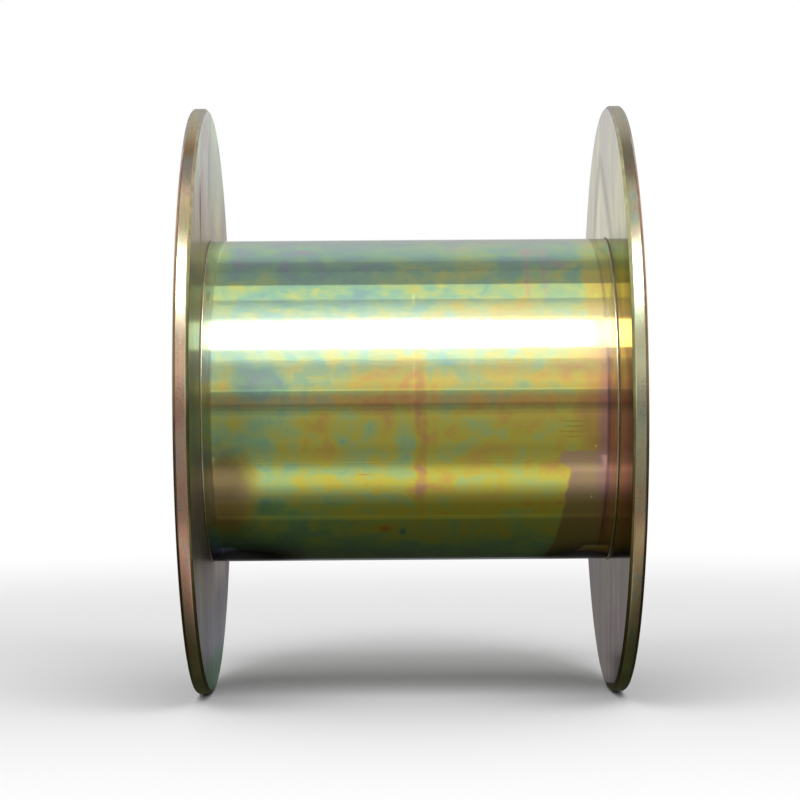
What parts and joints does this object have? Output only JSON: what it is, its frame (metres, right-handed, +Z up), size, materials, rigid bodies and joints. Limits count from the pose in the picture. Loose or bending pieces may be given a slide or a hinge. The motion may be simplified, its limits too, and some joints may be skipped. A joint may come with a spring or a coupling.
{
  "type": "steel wire take-up reel",
  "caption": "Empty flanged take-up reel for wire: two flat turned steel flanges, a smooth polished barrel and a bored arbor tube, in iridescent yellow zinc.",
  "frame": {"origin": "middle of the reel on its own axis", "axes": "+X along the reel's axis towards the right flange, +Z up, the reel lying on its two rims"},
  "size_m": [0.29, 0.3999, 0.4],
  "materials": {
    "flange_zinc": "turned and polished steel, iridescent yellow zinc",
    "barrel_zinc": "mirror polished steel, iridescent yellow zinc",
    "arbor_zinc": "turned steel, yellow zinc"
  },
  "bodies": {
    "root": {"left_flange": "flange_zinc", "right_flange": "flange_zinc", "barrel_tube": "barrel_zinc", "arbor_tube": "arbor_zinc"}
  },
  "joints": []
}
